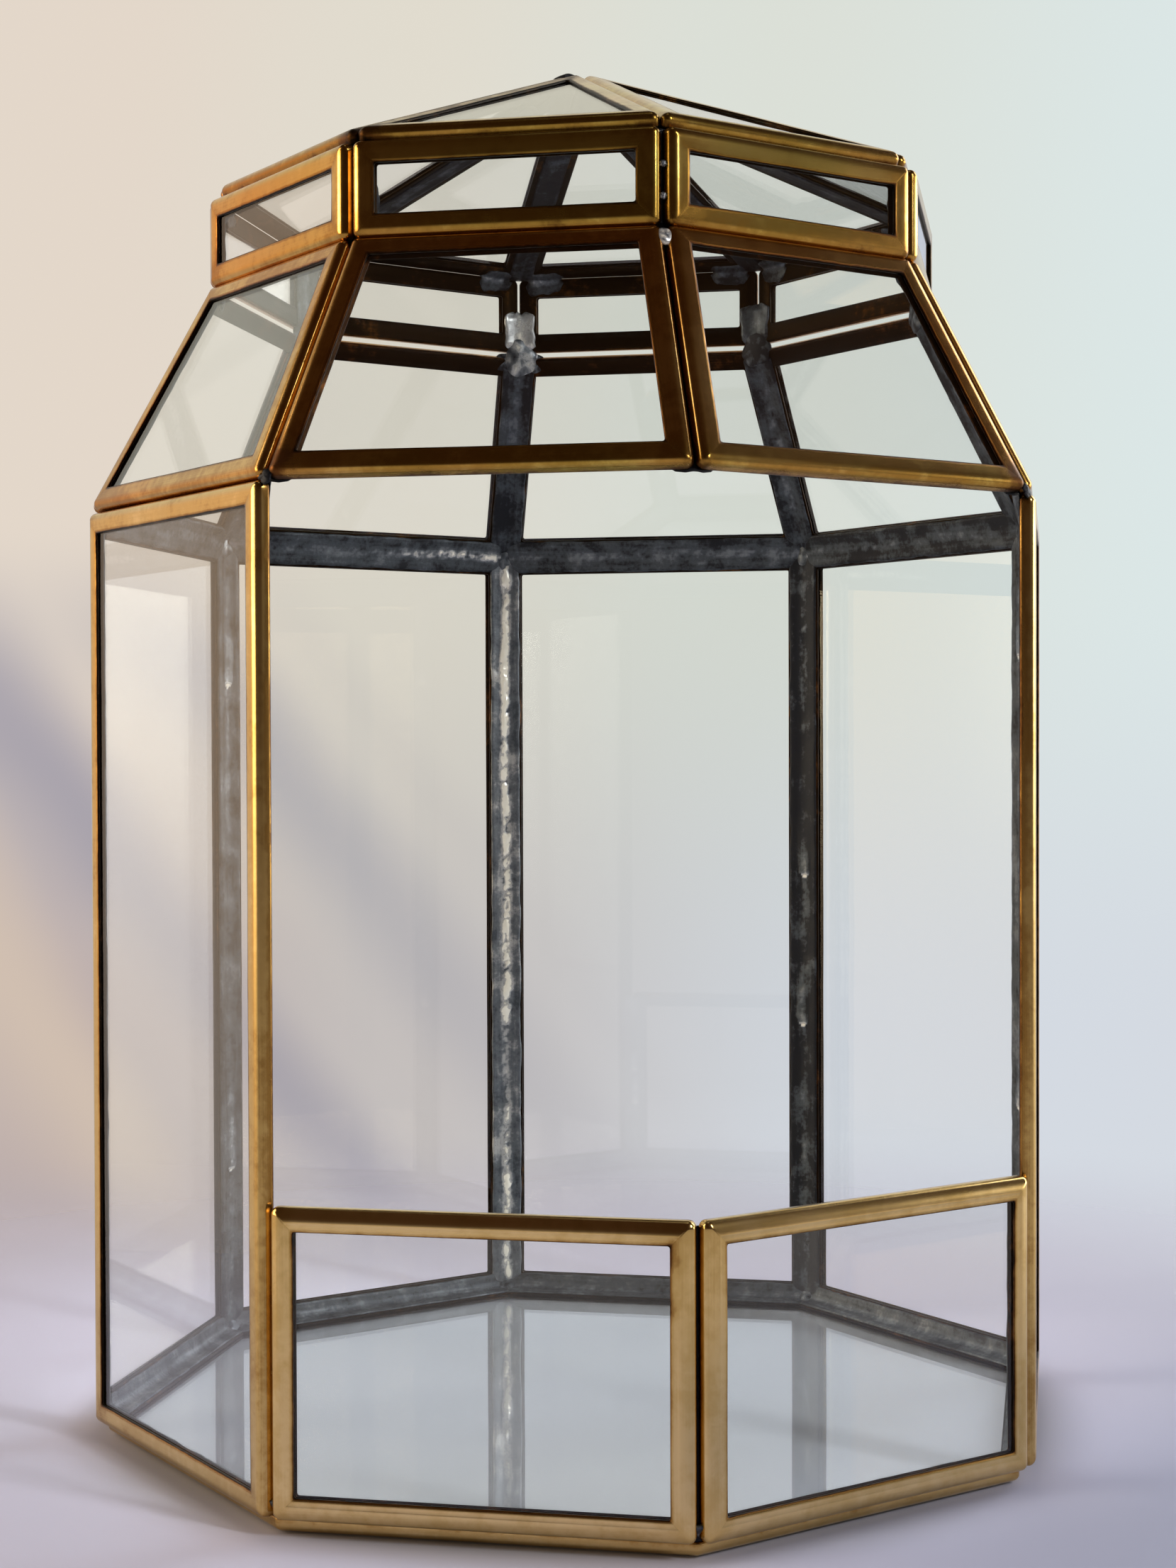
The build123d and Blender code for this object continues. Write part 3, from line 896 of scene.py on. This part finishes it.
CAP_SEAM_STOP = 13.6 * MM
caps = Sheets()
for number, (corner, angle) in enumerate(CORNERS.items()):
    foot = compass(angle) * COLLAR_RADIUS + Z * COLLAR_TOP
    head = Z * APEX
    stop = foot.lerp(head, 1 - CAP_SEAM_STOP / (head - foot).length)
    how = {"reach": 3.2 * MM, "fill": 0.4 * MM, "film": 0.2 * MM, "shine": -0.2, "streak": 0.1}
    corner_seam(caps, angle, foot, stop, CAP_LEAN, 380 + number, **how)
# the apex is closed by a flattened lump, off to the left of the peak and just inside the CAD's height
lump = Vector((-2.6 * MM, 0.8 * MM, APEX + 1.3 * MM))
lump_height = cad_box[1].z - lump.z - 0.45 * MM
how = {"stretch": 1.15, "lengthwise": Vector((1, 0, 0)), "shine": -0.25, "uneven": 0.2}
blob(caps, lump, Z, 6.0 * MM, lump_height, 399, **how)
caps.piece("solder_cap", ["cap_solder"], solder)

for node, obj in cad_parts.items():
    if "_pane" in node:
        obj.data.materials.clear()
        obj.data.materials.append(glass)


# ---- Stage ----
UNDER_GLASS, OPEN_TABLE, FRONT_RIGHT = (0.36, 0.37, 0.44), (0.66, 0.66, 0.88), (0.38, 0.41, 0.60)
TABLE_RINGS, TABLE_SPOKES = (0.25, 0.5, 0.75, 1.0), 64
TABLE_DROP = 0.2 * MM


def make_floor():
    """A pale table that fades into the backdrop with distance."""
    material, tree = node_material("pale_table")
    place = add(tree, "ShaderNodeTexCoord").outputs["Object"]
    away = add(tree, "ShaderNodeVectorMath", operation="LENGTH")
    link(tree, place, away.inputs[0])
    fade = ramp(tree, away.outputs["Value"], [(0.10, 0.0), (0.42, 1.0)])
    # less light gets to it under the glass, and towards the front right
    colour = ramp(tree, away.outputs["Value"], [(0.100, UNDER_GLASS), (0.125, OPEN_TABLE)])
    x, y, _ = separate(tree, place)
    front_right = smooth_range(tree, math_node(tree, "SUBTRACT", x, y), 0.06, 0.26)
    shader = add(tree, "ShaderNodeBsdfDiffuse")
    link(tree, mix_colour(tree, front_right, colour, FRONT_RIGHT), shader.inputs["Color"])
    clear = add(tree, "ShaderNodeBsdfTransparent")
    mix = add(tree, "ShaderNodeMixShader")
    link(tree, fade, mix.inputs[0])
    link(tree, shader.outputs[0], mix.inputs[1])
    link(tree, clear.outputs[0], mix.inputs[2])
    finish_tree(tree, mix)

    points, faces = [(0, 0, 0)], []
    turns = [math.tau * k / TABLE_SPOKES for k in range(TABLE_SPOKES)]
    for radius in TABLE_RINGS:
        points += [(radius * math.cos(turn), radius * math.sin(turn), 0) for turn in turns]
    for k in range(TABLE_SPOKES):
        after = (k + 1) % TABLE_SPOKES
        faces.append((0, 1 + k, 1 + after))
        for r in range(len(TABLE_RINGS) - 1):
            inner, outer = 1 + r * TABLE_SPOKES, 1 + (r + 1) * TABLE_SPOKES
            faces.append((inner + k, outer + k, outer + after, inner + after))
    mesh = bpy.data.meshes.new("table_top")
    mesh.from_pydata(points, [], faces)
    mesh.materials.append(material)
    obj = bpy.data.objects.new("table_top", mesh)
    obj.location.z = -TABLE_DROP
    bpy.context.scene.collection.objects.link(obj)


# the backdrop's colour by how far right the eye looks, and the same in shade
PAPER = [
    (0.0, (0.77, 0.68, 0.59)),
    (0.12, (0.75, 0.71, 0.62)),
    (0.25, (0.71, 0.74, 0.68)),
    (0.45, (0.71, 0.80, 0.80)),
]
SHADED = [(0.0, (0.50, 0.42, 0.41)), (0.12, (0.58, 0.54, 0.53)), (0.32, (0.66, 0.70, 0.76))]
# painted shadows in slanting bands on it: where, how wide, how strong, what colour
PAINTED_SHADOW_BANDS = [
    (0.116, 0.060, 0.70, (0.37, 0.37, 0.43)),
    (-0.014, 0.046, 0.85, (0.36, 0.34, 0.40)),
    (-0.128, 0.040, 0.80, (0.66, 0.54, 0.44)),
    (0.185, 0.030, 0.18, (0.45, 0.43, 0.45)),
]
SHADOW_BAND_SLOPE, SHADOW_BAND_WANDER = 1.33, 0.05
# the room that the metal and the glass reflect
FRONT_ROOM, REAR_ROOM, REAR_UPPER = (0.040, 0.019, 0.009), (0.66, 0.71, 0.80), (0.80, 0.77, 0.64)
WARM_LEFT, COOL_RIGHT = (0.98, 0.62, 0.30), (1.3, 1.3, 1.25)
OVERHEAD, TABLE_GLOW = (0.8, 0.8, 0.8), (0.62, 0.56, 0.52)
# windows straight to the left and the right, which draw the bright lines on the rounded backs:
# x where each begins, x well inside it, top, colour
WINDOWS = [(-0.90, -0.97, 0.50, (6.0, 4.8, 3.0)), (0.90, 0.97, 0.34, (6.0, 5.8, 5.2))]


def backdrop(tree, way, x, z):
    """Pale paper, warm on the left and cool on the right, darker low down in shade, with soft slanting bands
    of painted shadow.
    """
    paper = ramp(tree, x, PAPER)
    paper = mix_colour(tree, smooth_range(tree, z, 0.08, -0.13), paper, ramp(tree, x, SHADED))
    wander = noise_texture(tree, way, 6.0, detail=2.0)
    slant = math_node(tree, "ADD", z, product(tree, x, SHADOW_BAND_SLOPE))
    slant = math_node(tree, "ADD", slant, product(tree, wander, SHADOW_BAND_WANDER))
    # the bands are wider on the left, and die out on the right and high up
    narrowing = product(tree, smooth_range(tree, x, -0.06, 0.06), 0.6)
    narrowing = math_node(tree, "ADD", narrowing, 0.4)
    for centre, spread, depth, tone in PAINTED_SHADOW_BANDS:
        off = math_node(tree, "ABSOLUTE", math_node(tree, "SUBTRACT", slant, centre), 0.0)
        band = smooth_range(tree, product(tree, off, narrowing), spread, 0.0)
        on_left, low = smooth_range(tree, x, 0.32, 0.0), smooth_range(tree, z, 0.09, 0.02)
        paper = mix_colour(tree, product(tree, band, on_left, low, depth), paper, tone)
    return paper


def reflected_room(tree, x, y, z):
    """What reflections see: dark in front, pale behind, warm left, cool right, two windows and the table."""
    low = smooth_range(tree, z, 0.62, 0.30)
    behind = product(tree, smooth_range(tree, y, -0.15, 0.20), low)
    room = mix_colour(tree, behind, FRONT_ROOM, REAR_ROOM)
    above = product(tree, smooth_range(tree, y, 0.30, 0.60), smooth_range(tree, z, 0.80, 0.60))
    above = product(tree, above, smooth_range(tree, z, 0.25, 0.40))
    room = mix_colour(tree, above, room, REAR_UPPER)
    warm = product(tree, smooth_range(tree, x, -0.45, -0.9), smooth_range(tree, y, -0.35, 0.1), low)
    room = mix_colour(tree, warm, room, WARM_LEFT)
    cool = product(tree, smooth_range(tree, x, 0.55, 0.95), smooth_range(tree, y, -0.35, 0.05))
    cool = product(tree, cool, smooth_range(tree, z, 0.42, 0.20))
    room = mix_colour(tree, cool, room, COOL_RIGHT)
    for edge, inside, top, colour in WINDOWS:
        pane = product(tree, smooth_range(tree, x, edge, inside), smooth_range(tree, z, -0.12, 0.10))
        pane = product(tree, pane, smooth_range(tree, z, top, top - 0.16))
        room = mix_colour(tree, pane, room, colour)
    room = mix_colour(tree, smooth_range(tree, z, 0.98, 1.0), room, OVERHEAD)
    return mix_colour(tree, smooth_range(tree, z, 0.06, -0.30), room, TABLE_GLOW)


def make_world():
    world = bpy.data.worlds.new("soft_studio")
    world.use_nodes = True
    bpy.context.scene.world = world
    tree = world.node_tree
    tree.nodes.clear()
    way = add(tree, "ShaderNodeTexCoord").outputs["Generated"]
    x, y, z = separate(tree, way)
    paper, reflected = backdrop(tree, way, x, z), reflected_room(tree, x, y, z)

    # the paper shows to the eye and straight through glass, not in what a surface behind glass reflects;
    # a ray on its way to the background counts one deeper than the surfaces it has met
    path = add(tree, "ShaderNodeLightPath")
    turned = math_node(tree, "SUBTRACT", path.outputs["Ray Depth"], path.outputs["Transmission Depth"])
    straight = math_node(tree, "LESS_THAN", turned, 1.5)
    through = product(tree, straight, path.outputs["Is Transmission Ray"])
    seen = math_node(tree, "MAXIMUM", path.outputs["Is Camera Ray"], through)
    background = add(tree, "ShaderNodeBackground", {"Strength": 1.0})
    link(tree, mix_colour(tree, seen, reflected, paper), background.inputs["Color"])
    finish_tree(tree, background, "ShaderNodeOutputWorld")


LAMPS_AIM = Vector((0, 0, 0.12))


def soft_lamp(name, place, size, watts, colour):
    data = bpy.data.lights.new(name, "AREA")
    data.shape, data.size, data.size_y = "RECTANGLE", size[0], size[1]
    data.energy, data.color = watts, colour
    obj = bpy.data.objects.new(name, data)
    obj.location = place
    obj.rotation_euler = (LAMPS_AIM - Vector(place)).to_track_quat("-Z", "Y").to_euler()
    bpy.context.scene.collection.objects.link(obj)


make_floor()
make_world()
soft_lamp("window_right", (1.3, 0.5, 0.9), (0.7, 0.9), 8, (0.95, 0.98, 1.0))
soft_lamp("lamp_front", (0.75, -0.9, 0.80), (0.16, 0.45), 6, (1.0, 0.98, 0.93))
soft_lamp("window_left", (-1.2, 0.1, 0.8), (0.6, 0.8), 6, (1.0, 0.88, 0.72))


# ---- Camera: place (metres), turn to the right of +y, tilt, roll (radians), lens (mm) ----
EYE = Vector((-0.11395, -0.56824, 0.15987))
YAW, PITCH, ROLL = 0.20039, -0.0178, -0.00336
LENS, SENSOR = 55.54, 36.0

forward = Vector((math.sin(YAW) * math.cos(PITCH), math.cos(YAW) * math.cos(PITCH), math.sin(PITCH)))
level_right = Vector((math.cos(YAW), -math.sin(YAW), 0))
level_up = level_right.cross(forward)
right = level_right * math.cos(ROLL) + level_up * math.sin(ROLL)
up = level_up * math.cos(ROLL) - level_right * math.sin(ROLL)
camera_data = bpy.data.cameras.new("camera")
camera_data.lens, camera_data.sensor_width = LENS, SENSOR
camera_data.clip_start = 0.01
camera = bpy.data.objects.new("camera", camera_data)
camera.matrix_world = Matrix(
    (
        (right.x, up.x, -forward.x, EYE.x),
        (right.y, up.y, -forward.y, EYE.y),
        (right.z, up.z, -forward.z, EYE.z),
        (0, 0, 0, 1),
    )
)
bpy.context.scene.collection.objects.link(camera)
bpy.context.scene.camera = camera
bpy.context.scene.view_settings.view_transform = "Standard"
